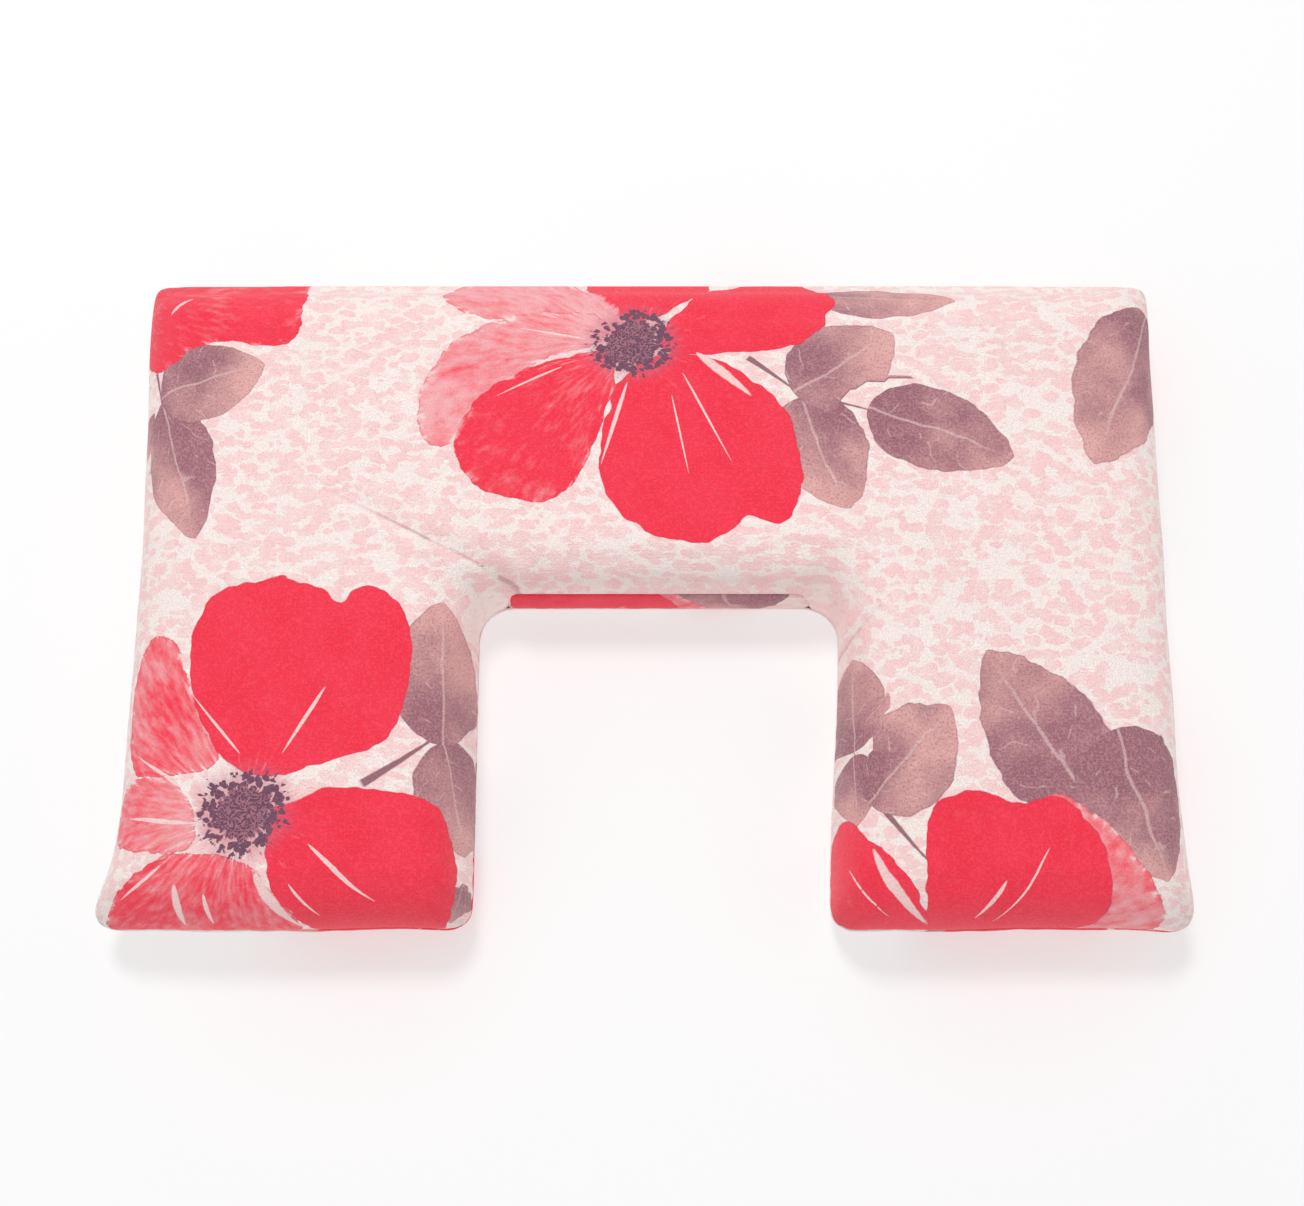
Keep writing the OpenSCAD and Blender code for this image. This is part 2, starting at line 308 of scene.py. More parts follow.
class Tone:
    """A value inside a material, on which Python arithmetic adds Math nodes."""

    def __init__(self, dye, socket):
        self.dye, self.socket = dye, socket

    def math(self, operation, *others):
        values = dict(enumerate([self, *others]))
        return self.dye.node("Math", {"operation": operation}, values)[0]

    def __add__(self, other): return self.math("ADD", other)
    def __sub__(self, other): return self.math("SUBTRACT", other)
    def __mul__(self, other): return self.math("MULTIPLY", other)
    def __truediv__(self, other): return self.math("DIVIDE", other)
    def __abs__(self): return self.math("ABSOLUTE")
    def __rsub__(self, other): return (self * -1) + other
    __radd__, __rmul__ = __add__, __mul__

    def step(self, start, end):
        """0 before start and 1 after end, with a smooth change between. It falls where end < start."""
        settings = {"interpolation_type": "SMOOTHSTEP"}
        low, high, a, b = (start, end, 0, 1) if start < end else (end, start, 1, 0)
        return self.dye.node("MapRange", settings, {0: self, 1: low, 2: high, 3: a, 4: b})[0]


class Dye:
    """A material: its shader, and the nodes that colour it."""

    def __init__(self, name, roughness, **shader_values):
        self.material = bpy.data.materials.new(name)
        self.material.use_nodes = True
        self.tree = self.material.node_tree
        self.shader = self.tree.nodes["Principled BSDF"]
        self.shader.inputs["Roughness"].default_value = roughness
        for socket, value in shader_values.items():
            self.shader.inputs[socket.replace("_", " ").title()].default_value = value

    def node(self, kind, settings=None, inputs=None):
        outputs = add_node(self.tree, "ShaderNode" + kind, settings, inputs)
        return [Tone(self, output) for output in outputs]

    def mix(self, amount, one, other):
        """One colour where amount is 0 and the other where it is 1."""
        return self.node("Mix", {"data_type": "RGBA"}, {0: amount, 6: one, 7: other})[2]

    def vector(self, operation, one, other):
        return self.node("VectorMath", {"operation": operation}, {0: one, 1: other})[0]

    def field(self, name):
        """The three values of a named field on the piece's points."""
        return self.node("SeparateXYZ", None, {0: self.node("Attribute", {"attribute_name": name})[1]})

    def place(self, name=None, stretch=(1, 1, 1)):
        """A piece's own coordinates in metres, or a field's, stretched."""
        spot = self.node("Attribute", {"attribute_name": name})[1] if name else self.node("TexCoord")[3]
        return self.vector("MULTIPLY", spot, stretch)

    def grain(self, spot, size, detail=2.0, roughness=0.5, distortion=0.0):
        """Soft noise from 0 to 1 with features of a size in metres."""
        inputs = {"Vector": spot, "Scale": 1 / size, "Detail": detail, "Roughness": roughness,
                  "Distortion": distortion}
        return self.node("TexNoise", None, inputs)[0]

    def wobbled(self, spot, size, reach):
        """Coordinates pushed about by noise, by up to a reach in metres."""
        inputs = {"Vector": spot, "Scale": 1 / size, "Detail": 1.5}
        push = self.vector("SUBTRACT", self.node("TexNoise", None, inputs)[1], (0.5, 0.5, 0.5))
        return self.vector("ADD", spot, self.vector("MULTIPLY", push, (2 * reach,) * 3))

    def finish(self, colour, height, lift, roughness=None):
        """Gives the shader its colour, and a bump of that height in metres."""
        bump = self.node("Bump", None, {"Height": height, "Distance": lift, "Strength": 1.0})[0]
        self.tree.links.new(colour.socket, self.shader.inputs["Base Color"])
        self.tree.links.new(bump.socket, self.shader.inputs["Normal"])
        if roughness is not None:
            self.tree.links.new(roughness.socket, self.shader.inputs["Roughness"])
        return self.material


def ink(red, green, blue):
    """A screen colour from 0 to 255 as the shader's linear colour."""
    parts = [c / 255 for c in (red, green, blue)]
    return (*[c / 12.92 if c < 0.04045 else ((c + 0.055) / 1.055) ** 2.4 for c in parts], 1)


def weld(piece, reach=1e-6, level=None):
    """Merges a piece's points that lie on each other, and its faces that are level to an angle."""
    merged = bmesh.new()
    merged.from_mesh(piece.data)
    bmesh.ops.remove_doubles(merged, verts=merged.verts, dist=reach)
    if level:
        bmesh.ops.dissolve_limit(merged, angle_limit=level, verts=merged.verts, edges=merged.edges)
    merged.to_mesh(piece.data)
    merged.free()


def soft_body(name, depth, step):
    """A closed U-shaped body at a depth below the cover's face."""
    shape = SoftU(depth, step)
    middle = np.full(len(shape.flat), side_seam)
    upper, lower = (shape.face(up, middle, middle)[0] for up in (True, False))
    piece = cloth_object(name, slump(np.vstack([upper, lower])),
                         np.vstack([shape.quads, shape.quads[:, ::-1] + len(upper)]))
    weld(piece, 1e-5)
    return piece


def fit(piece, node=None, body="pillow"):
    """Puts a piece on a body, in place of a CAD node if it stands for one."""
    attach(piece, body)
    if node:
        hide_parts(node)


liner_depth, liner_thickness, wadding_thickness = 0.0022, 0.0008, 0.0050
wadding_depth = liner_depth + liner_thickness
foam_depth = wadding_depth + wadding_thickness
foam_step = 0.006

foam = soft_body("foam_core_slab", foam_depth, foam_step)
foam.modifiers.new("smooth", "SUBSURF").render_levels = 1
finished(foam)
sponge = Dye("polyurethane_foam", 0.95)
pores = sponge.node("TexVoronoi", None, {"Vector": sponge.place(), "Scale": 900})[0]
mottle = sponge.grain(sponge.place(), 0.012)
cream = sponge.mix(mottle, ink(244, 232, 198), ink(236, 220, 176))
# Painted shade: the middle of each pore is darkened, for the shade inside the pores.
cream = sponge.mix(pores.step(0.25, 0.05) * 0.5, cream, ink(196, 172, 120))
foam.data.materials.append(sponge.finish(cream, pores, 0.0006))
fit(foam, "foam_core")

# ---------------------------------------------------------------- wadding
# Bonded polyester wadding, one sheet over the foam and one under it, meeting round the
# middle of its walls. It takes the hard line off the foam's edges.
skin_step, packed = 0.008, 0.9


def soft_skin(name, depth, thickness, up):
    """Half of a layer of cloth or wadding round the foam, with its thickness."""
    shape = SoftU(depth, skin_step)
    middle = np.full(len(shape.flat), side_seam)
    points, _ = shape.face(up, middle, middle)
    piece = cloth_object(name, slump(points), shape.quads if up else shape.quads[:, ::-1])
    piece.modifiers.new("smooth", "SUBSURF").render_levels = 1
    wall = piece.modifiers.new("thickness", "SOLIDIFY")
    wall.thickness, wall.offset = packed * thickness, -1
    return finished(piece)


fluff = Dye("polyester_wadding", 0.9)
fibres = fluff.grain(fluff.place(stretch=(1, 3, 2)), 0.004, 6.0, 0.7, 1.5)
white = fluff.mix(fibres.step(0.35, 0.65), ink(228, 228, 226), ink(252, 252, 250))
fluff.finish(white, fibres, 0.002)
for name, up in (("wadding_top", True), ("wadding_bottom", False)):
    sheet = soft_skin(name + "_sheet", wadding_depth, wadding_thickness, up)
    sheet.data.materials.append(fluff.material)
    fit(sheet, name)

# ---------------------------------------------------------------- liner
# A plain undyed cloth bag sewn shut round the wadding, so that the cover can come off to
# be washed. It is cut in two halves with a seam round the middle.
calico = Dye("liner_calico", 0.9)
threads = [calico.node("TexWave", {"bands_direction": way}, {"Vector": calico.place(), "Scale": 250.0})[1]
           for way in ("X", "Y")]
undyed = calico.mix(calico.grain(calico.place(), 0.02), ink(246, 242, 232), ink(234, 229, 216))
calico.finish(undyed, threads[0] * threads[1], 0.0002)
for name, up in (("liner_top", True), ("liner_bottom", False)):
    half = soft_skin(name + "_cloth", liner_depth, liner_thickness, up)
    half.data.materials.append(calico.material)
    fit(half, name)

# ---------------------------------------------------------------- printed cover
# Two panels of printed cotton crepe and a strip in the back of the notch, sewn inside out
# and turned. The outer seam runs round the middle of the walls and drops to the base along
# the inner sides of the arms. The flowers lie where the panels were cut from the roll.
cover_step, hair = 0.005, 1e-6
shape = SoftU(0, cover_step)
x, y = shape.flat.T
back_row = (y > shape.back - hair) & (np.abs(x) < notch_turn[0] + hair)
gusset_end = np.clip((shape.round_share - 7 / 8) * 8, 0, 1)
gusset_rise = gusset_high[2] - gusset_low[2]
notch_seam = gusset_low[2] + gusset_rise * np.where(back_row, 1, gusset_end)
zip_reach, zip_closes, zip_half_gap = 0.2225, 0.2285, 0.0057
gap = np.where(y > 0, zip_half_gap * (1 - ease(np.abs(x), zip_reach, zip_closes)), 0)
upper, upper_cloth = shape.face(True, side_seam + gap, notch_seam)
lower, lower_cloth = shape.face(False, side_seam - gap, np.full(len(x), gusset_low[2]))


def curve_through(stops, parts=8):
    """A closed smooth curve through a few points."""
    p = np.array(stops, float)
    before, after, beyond = np.roll(p, 1, 0), np.roll(p, -1, 0), np.roll(p, -2, 0)
    t = (np.arange(parts) / parts)[:, None, None]
    curve = (2 * p + (after - before) * t + (2 * before - 5 * p + 4 * after - beyond) * t ** 2
             + (3 * p - before - 3 * after + beyond) * t ** 3) / 2
    return curve.transpose(1, 0, 2).reshape(-1, 2)


print_reach = 12.0  # millimetres outside a petal, beyond which its depth isn't worked out


def depth_inside(spots, outline):
    """How far spots lie inside a closed outline, or minus how far outside."""
    found = np.full(len(spots), -print_reach)
    near = np.all((spots > outline.min(0) - print_reach) & (spots < outline.max(0) + print_reach), 1)
    p = spots[near]
    nearest, inside = np.full(len(p), 1e9), np.zeros(len(p), bool)
    for a, b in zip(outline, np.roll(outline, -1, 0)):
        along = np.clip(((p - a) @ (b - a)) / ((b - a) @ (b - a)), 0, 1)
        nearest = np.minimum(nearest, np.linalg.norm(p - a - along[:, None] * (b - a), axis=1))
        if a[1] != b[1]:
            crosses = (a[1] > p[:, 1]) != (b[1] > p[:, 1])
            inside ^= crosses & (p[:, 0] < a[0] + (p[:, 1] - a[1]) / (b[1] - a[1]) * (b[0] - a[0]))
    found[near] = np.maximum(np.where(inside, nearest, -nearest), -print_reach)
    return found


# Flowers on the cloth, in millimetres from the cushion's middle. Each petal has a layer,
# 0 in front, a paleness, and a few points of its outline.
hearts = [(-10, 145), (-219, -131), (152, -258), (-338, 186)]
petals = [
    (1, 0.60, [(-30, 166), (-62, 168), (-92, 160), (-116, 142), (-131, 110), (-127, 80), (-104, 84),
        (-84, 110), (-58, 134), (-28, 146)]),
    (0, 0.22, [(-26, 140), (-70, 127), (-102, 102), (-111, 75), (-98, 54), (-70, 45), (-44, 54),
        (-29, 88), (-20, 124)]),
    (1, 0.00, [(-14, 122), (-26, 92), (-28, 60), (-12, 34), (15, 20), (38, 23), (52, 35), (68, 31),
        (82, 52), (80, 92), (55, 122), (16, 138)]),
    (0, 0.06, [(4, 148), (20, 172), (40, 200), (86, 206), (106, 184), (100, 158), (84, 143), (48, 137),
        (16, 136)]),
    (2, 0.62, [(-24, 150), (-62, 158), (-98, 164), (-120, 178), (-112, 204), (-66, 214), (-30, 192),
        (-14, 164)]),
    (2, 0.10, [(-12, 160), (-38, 196), (-30, 232), (8, 240), (34, 214), (22, 178)]),
    (0, 0.03, [(-236, -98), (-252, -64), (-254, -34), (-240, -10), (-210, 0), (-184, -7), (-173, -15),
        (-156, -7), (-137, -20), (-131, -58), (-145, -92), (-180, -106), (-212, -112)]),
    (1, 0.40, [(-240, -108), (-266, -112), (-290, -108), (-298, -76), (-290, -42), (-268, -34),
        (-252, -62), (-234, -96)]),
    (2, 0.50, [(-244, -150), (-284, -152), (-306, -142), (-300, -118), (-258, -114)]),
    (1, 0.02, [(-198, -122), (-168, -119), (-134, -120), (-108, -132), (-97, -158), (-101, -192),
        (-118, -220), (-172, -224), (-192, -196), (-206, -160)]),
    (0, 0.34, [(-224, -156), (-262, -156), (-290, -176), (-302, -208), (-272, -244), (-214, -244),
        (-190, -208), (-206, -168)]),
    (0, 0.06, [(150, -128), (146, -154), (148, -196), (150, -240), (200, -246), (236, -214),
        (246, -178), (238, -140), (221, -124), (196, -126), (174, -120)]),
    (2, 0.52, [(280, -206), (272, -174), (256, -148), (218, -122), (196, -160), (200, -222), (250, -240)]),
    (1, 0.08, [(88, -134), (116, -146), (138, -168), (148, -204), (136, -246), (96, -244), (76, -190)]),
    (1, 0.22, [(-322, 146), (-314, 190), (-276, 226), (-238, 232), (-206, 214), (-201, 164), (-213, 142),
        (-243, 144), (-266, 138), (-290, 126)]),
]
# Leaves: layer, base, tip, half width and darkness.
leaves = [
    (0, (-286, 108), (-220, 128), 25, 0.5), (1, (-284, 106), (-256, 22), 24, 0.7),
    (1, (-292, 112), (-306, 74), 11, 0.8), (0, (82, 110), (140, 152), 28, 0.4),
    (1, (86, 108), (106, 40), 28, 0.5), (0, (124, 101), (206, 70), 25, 0.8),
    (1, (94, 184), (178, 178), 18, 0.3), (0, (302, 172), (252, 66), 36, 0.5),
    (0, (-110, -94), (-114, -14), 31, 0.4), (1, (-110, -92), (-90, -152), 27, 0.7),
    (1, (-84, -152), (-104, -208), 13, 0.9), (0, (98, -96), (93, -42), 25, 0.6),
    (1, (98, -98), (104, -138), 17, 0.7), (0, (112, -126), (160, -74), 29, 0.4),
    (1, (242, -132), (182, -42), 33, 0.8), (0, (254, -86), (280, -168), 37, 0.9),
]
# Stems and the pale slits between petals: start, end and half width at the start.
stems = [((56, 134), (84, 111), 1.6), ((84, 111), (128, 99), 1.2), ((86, 110), (82, 124), 1.0),
         ((-156, -116), (-112, -88), 2.0), ((106, -112), (150, -160), 2.0), ((114, -126), (98, -96), 1.2),
         ((-292, 126), (-284, 100), 1.2)]
slits = [((-13, 118), (-28, 66), 1.1), ((-50, 128), (-88, 108), 0.6), ((18, 124), (46, 68), 0.6),
         ((26, 138), (58, 108), 2.6), ((-36, 148), (-76, 156), 0.7), ((-184, -148), (-146, -184), 1.2),
         ((-193, -170), (-177, -196), 0.8), ((-211, -164), (-190, -208), 3.0),
         ((-254, -170), (-252, -206), 2.0), ((-238, -176), (-236, -204), 1.2),
         ((-262, -160), (-288, -182), 1.0), ((-178, -62), (-200, -100), 1.0),
         ((-222, -100), (-252, -66), 0.7), ((-242, -124), (-286, -100), 1.0),
         ((-246, -138), (-290, -134), 1.2), ((-205, -128), (-168, -112), 2.8),
         ((190, -168), (174, -198), 1.2), ((116, -150), (150, -206), 2.8), ((98, -160), (128, -196), 0.7),
         ((214, -150), (184, -204), 0.6), ((-280, 166), (-268, 182), 1.2), ((12, 110), (22, 60), 0.5)]


def stroke_field(spots, strokes):
    """For each spot: across, in half widths, and along its nearest stroke, the way off it, and which."""
    found, nearest = np.zeros((len(spots), 4)), np.full(len(spots), 1e9)
    for which, (start, end, half) in enumerate(strokes):
        run = np.subtract(end, start)
        length = np.hypot(*run)
        along = (spots - start) @ run / length ** 2
        across = (spots - start) @ np.array([-run[1], run[0]]) / length
        off = np.hypot(across, np.maximum(np.maximum(-along, along - 1), 0) * length) - half
        closer = off < nearest
        nearest = np.where(closer, off, nearest)
        found[closer] = np.stack([across / half, along, off, np.full(len(off), which)], 1)[closer]
    return found


def print_on(piece, cloth):
    """Stores where the print's flowers, leaves and strokes lie on a piece, in millimetres."""
    spots = cloth * 1000
    edges, pale = np.full((len(spots), 3), -print_reach), np.zeros((len(spots), 3))
    for layer, paleness, stops in petals:
        depth = depth_inside(spots, curve_through(stops))
        pale[:, layer] = np.where(depth > edges[:, layer], paleness, pale[:, layer])
        edges[:, layer] = np.maximum(edges[:, layer], depth)
    offsets = np.stack([spots - heart for heart in hearts])
    nearest = np.linalg.norm(offsets, axis=2).argmin(0)
    heart = offsets[nearest, np.arange(len(spots))]
    fields = {"petal_edges": edges, "petal_pale": pale,
              "heart": np.column_stack([heart, np.linalg.norm(heart, axis=1)]),
              "stem": stroke_field(spots, stems)[:, :3], "slit": stroke_field(spots, slits)[:, :3]}
    for layer, name in enumerate(("leaf_front", "leaf_back")):
        chosen = [leaf[1:] for leaf in leaves if leaf[0] == layer]
        found = stroke_field(spots, [leaf[:3] for leaf in chosen])
        darkness = np.array([leaf[3] for leaf in chosen])[found[:, 3].astype(int)]
        fields[name] = found[:, :3]
        fields[name + "_dark"] = np.column_stack([darkness] * 3)
    for name, values in fields.items():
        store(piece.data, name, values)


cotton = Dye("printed_cotton", 0.88, sheen_weight=0.12, sheen_roughness=0.6)
spot = cotton.place("cloth")
ridges = abs(cotton.grain(cotton.wobbled(spot, 0.004, 0.0008), 0.0021, 1.0) - 0.5)
crepe = ridges.step(0.12, 0.01) * 0.7 + cotton.grain(spot, 0.0009, 1.0) * 0.3
speckle = cotton.grain(spot, 0.0013, 1.0)
blot = cotton.grain(spot, 0.030, 2.0)
frayed = (cotton.grain(spot, 0.0045, 2.0, 0.6) - 0.5) * 2.4
fleck_size, fleck_fill, fleck_flatness = 0.0094, 0.56, 1.75
loose = cotton.vector("MULTIPLY", cotton.wobbled(spot, 0.006, 0.0032), (1, fleck_flatness, 1))
cells = cotton.node("TexVoronoi", None, {"Vector": loose, "Scale": 1 / fleck_size, "Randomness": 0.85})[0]
fleck = (fleck_fill - cells + frayed * 0.035).step(-0.05, 0.05)
pink = cotton.mix(cotton.grain(spot, 0.012, 1.0).step(0.4, 0.65), ink(255, 216, 214), ink(255, 226, 223))
colour = cotton.mix(fleck, ink(255, 243, 237), pink)
colour = cotton.mix(blot.step(0.50, 0.75) * 0.35, colour, ink(254, 240, 235))

across, along, off = cotton.field("stem")
stem = (1.2 - along - abs(across) + frayed * 0.15).step(-0.25, 0.25) * along.step(-0.02, 0.02)
colour = cotton.mix(stem * along.step(1.02, 0.98) * off.step(1.4, 0.9), colour, ink(150, 104, 112))

for name in ("leaf_back", "leaf_front"):
    across, along, off = cotton.field(name)
    dark = cotton.field(name + "_dark")[0]
    inside = along.step(-0.001, 0.001) * along.step(1.001, 0.999) * off.step(2.0, 1.0)
    to_tip = (1 - along).math("MAXIMUM", 0.0).math("POWER", 0.78)
    belly = along.math("MAXIMUM", 0.0).math("POWER", 0.55) * to_tip * 2.48
    edge = (belly - abs(across)) * 20 + frayed * 0.5 + (cotton.grain(spot, 0.014, 1.0) - 0.5) * 5
    leaf = edge.step(-0.25, 0.35) * inside
    side = across.step(-0.25, 0.25)
    bend = (blot - 0.5) * 0.9 + frayed * 0.02
    shade = (blot * 1.1 - 0.10 + dark * 0.50 + side * 0.16 - along * 0.62).step(0.0, 0.85)
    green = cotton.mix(shade, ink(235, 176, 171), ink(152, 94, 110))
    vein = (along * 4.5 - abs(across) * 1.3 + bend * 2).math("FRACT")
    vein = abs(vein - 0.5).step(0.050, 0.012) * cotton.grain(spot, 0.009, 1.0).step(0.48, 0.60) * 0.5
    rib = abs(across * 20 + bend * 6).step(0.80, 0.25) * along.step(0.95, 0.70) * 0.62
    green = cotton.mix(vein.math("MAXIMUM", rib), green, ink(233, 198, 194))
    green = cotton.mix(edge.step(1.0, 0.2) * 0.45, green, ink(126, 84, 102))
    green = cotton.mix(crepe * 0.22, green, ink(240, 200, 194))
    green = cotton.mix(speckle.step(0.52, 0.66) * 0.28, green, ink(112, 66, 88))
    colour = cotton.mix(leaf, colour, green)

east, north, reach = cotton.field("heart")
ray = cotton.node("CombineXYZ", None, {0: east / reach, 1: north / reach, 2: reach * 0.005})[0]
streak = cotton.grain(ray, 0.050, 3.0, 0.55)
near_heart = reach.step(58.0, 14.0)
edges, pale = cotton.field("petal_edges"), cotton.field("petal_pale")
lobes = (cotton.grain(spot, 0.014, 1.0) - 0.5) * 7
for layer in (2, 1, 0):
    edge = edges[layer] + frayed * (pale[layer] * 1.7 + 0.4) + lobes
    wash = (blot * 0.55 + streak * 0.75 - 0.78 + pale[layer] * 1.05 + near_heart * 0.16).step(0.06, 0.72)
    petal = cotton.mix(blot.step(0.3, 0.7), ink(255, 38, 72), ink(252, 24, 62))
    petal = cotton.mix(wash, petal, ink(252, 182, 186))
    petal = cotton.mix(streak.step(0.62, 0.72) * near_heart * 0.5, petal, ink(253, 150, 162))
    petal = cotton.mix(edge.step(1.1, 0.2) * 0.5, petal, ink(206, 40, 76))
    petal = cotton.mix(streak.step(0.52, 0.66) * edge.step(5.0, 0.5) * pale[layer].step(0.1, 0.4), petal,
                       ink(254, 228, 224))
    colour = cotton.mix(edge.step(-0.3, 0.4), colour, petal)

across, along, off = cotton.field("slit")
taper = (along * (1 - along)).math("MAXIMUM", 0.0).math("POWER", 0.7) * (3.6 - along * 1.8)
slit = ((taper - abs(across)) * 1.6 + frayed * 0.3).step(-0.30, 0.35)
slit = slit * along.step(0.0, 0.04) * along.step(1.0, 0.96) * off.step(1.6, 0.9)
on_petal = edges[0].math("MAXIMUM", edges[1]).math("MAXIMUM", edges[2]).step(0.0, 0.6)
colour = cotton.mix(slit * on_petal * 0.9, colour, ink(254, 226, 222))

dots = cotton.node("TexVoronoi", None, {"Vector": cotton.wobbled(spot, 0.004, 0.0022), "Scale": 290})[0]
wander = reach + (blot - 0.5) * 12 + (streak - 0.5) * 14
colour = cotton.mix(wander.step(33.0, 18.0) * 0.55, colour, ink(206, 96, 124))
anthers = (0.42 - dots + wander.step(27.0, 19.0) * 0.28 - wander.step(22.0, 30.0) * 0.6).step(0.0, 0.12)
colour = cotton.mix(anthers * wander.step(33.0, 26.0), colour, ink(106, 66, 92))
disc = (wander + frayed * 1.2).step(15.5, 13.5)
seeds = cotton.mix(crepe.step(0.42, 0.58), ink(104, 64, 90), ink(158, 104, 120))
colour = cotton.mix(disc, colour, seeds)

# Painted shade: the cloth is darkened to mauve along one side of each fold in the top panel, fading along the
# fold, for the shade that lies in the folds.
across, along, off = cotton.field("fold")
fold_shade = (across + frayed * 0.25).step(-1.0, -0.1) * across.step(2.2, 0.2)
fold_shade = fold_shade * along.step(1.3, 0.0) * off.step(4.0, 1.5)
colour = cotton.mix(fold_shade * 0.5, colour, ink(176, 112, 128))
colour = cotton.mix(crepe * 0.085, colour, ink(255, 176, 182))
colour = cotton.mix(speckle.step(0.56, 0.70) * 0.12, colour, ink(180, 50, 74))
cotton.finish(colour, crepe, 0.00030)

seam_dip, held_by_tape, cover_thickness = 0.0010, 0.4, 0.0009
# Folds in the top panel: start, end, depth and width, in millimetres.
folds = [((-78, 2), (-122, 22), 3.4, 3.0), ((-122, 22), (-178, 50), 2.4, 3.6),
         ((104, -40), (124, -20), 2.2, 2.6)]


def settle(points, up):
    """Lets the cloth lie as sewn: slumped, with slow waves, and folds off the notch's corners."""
    x, y, z = slump(points).T * 1000
    lift = np.zeros(len(x))
    if up:
        lift += 0.7 * np.sin(x / 34 + y / 57) * np.sin(y / 29 - x / 71)
        lift += 0.35 * np.sin(x / 15 + y / 21)
        lift += 1.5 * np.clip(np.minimum(170 - y, 300 - np.abs(x)) / 60, 0, 1)
        spots = np.column_stack([x, y])
        for start, end_of_fold, deep, wide in folds:
            across, along = stroke_field(spots, [(start, end_of_fold, 1)]).T[:2]
            length = np.hypot(*np.subtract(end_of_fold, start))
            off_end = np.maximum(np.maximum(-along, along - 1), 0) * length
            lift -= deep * np.exp(-(across / wide) ** 2 - (off_end / (2 * wide)) ** 2)
            ridge = ((across - 2.2 * wide) / (1.6 * wide)) ** 2 + (off_end / (3 * wide)) ** 2
            lift += 0.5 * deep * np.exp(-ridge)
        z = z + lift * ease(z, 55, 78)
    return np.column_stack([x, y, z]) / 1000


def open_edges(quads):
    """The pairs of points that make a sheet's open edges."""
    sides = np.sort(np.vstack([quads[:, [i, (i + 1) % 4]] for i in range(4)]), axis=1)
    sides, uses = np.unique(sides, axis=0, return_counts=True)
    return sides[uses == 1]


def cover_panel(name, points, cloth, quads, up):
    """One panel of the cover, smoothed, settled, printed and given the cloth's thickness."""
    sewn = np.zeros((len(points), 2))
    sewn[open_edges(quads)] = 1
    panel = cloth_object(name, points, quads, cloth=cloth, sewn=sewn)
    weld(panel)
    panel.modifiers.new("smooth", "SUBSURF").render_levels = 1
    finished(panel)
    outward = np.array([v.normal for v in panel.data.vertices])
    pulled = rows_of(panel.data.attributes["sewn"].data, "vector")[:, 0]
    spots = settle(rows_of(panel.data.vertices, "co"), up)
    at_zip = (spots[:, 1] > half_depth - 0.006) & (np.abs(spots[:, 0]) < zip_closes)
    pulled = pulled * np.where(at_zip, held_by_tape, 1)
    pucker = 0.7 + 0.3 * np.sin(spots[:, 0] * 520) * np.sin(spots[:, 1] * 480)
    spots -= outward * (seam_dip * pulled ** 2 * pucker)[:, None]
    panel.data.vertices.foreach_set("co", spots.ravel())
    # Where each fold lies, for the painted shade along the folds; the base and the strip get none.
    fold = stroke_field(spots[:, :2] * 1000, [(*fold[:2], 1) for fold in folds])[:, :3]
    if not up:
        fold[:, 2] = 99
    store(panel.data, "fold", fold)
    print_on(panel, rows_of(panel.data.attributes["cloth"].data, "vector")[:, :2])
    wall = panel.modifiers.new("thickness", "SOLIDIFY")
    wall.thickness, wall.offset = cover_thickness, -1
    finished(panel)
    panel.data.materials.append(cotton.material)
    return panel


columns = np.flatnonzero(np.abs(shape.flat[:, 0]) < notch_turn[0] + 0.0051)
columns = columns[np.abs(shape.flat[columns, 1] - shape.back) < 1e-6]
columns = columns[np.argsort(shape.flat[columns, 0])]
rows = np.linspace(0, 1, 9)
low_row, high_row = lower[columns].copy(), upper[columns].copy()
for end in (0, -1):
    # Each end runs on behind the top panel's edge.
    low_row[end] += (math.copysign(0.0010, low_row[end, 0]), 0.0018, 0)
    high_row[end] = low_row[end] + (0, 0, 0.45 * gusset_rise)
strip = low_row[None] * (1 - rows)[:, None, None] + high_row[None] * rows[:, None, None]
strip[:, :, 1] -= 0.0012 * np.sin(math.pi * rows)[:, None]
grid = np.arange(strip.shape[0] * strip.shape[1]).reshape(strip.shape[:2])
strip_quads = np.stack([c.ravel() for c in (grid[:-1, :-1], grid[:-1, 1:], grid[1:, 1:], grid[1:, :-1])], 1)
strip = strip.reshape(-1, 3)
strip_cloth = np.column_stack([strip[:, 0] + 0.228, strip[:, 2] - 0.181])


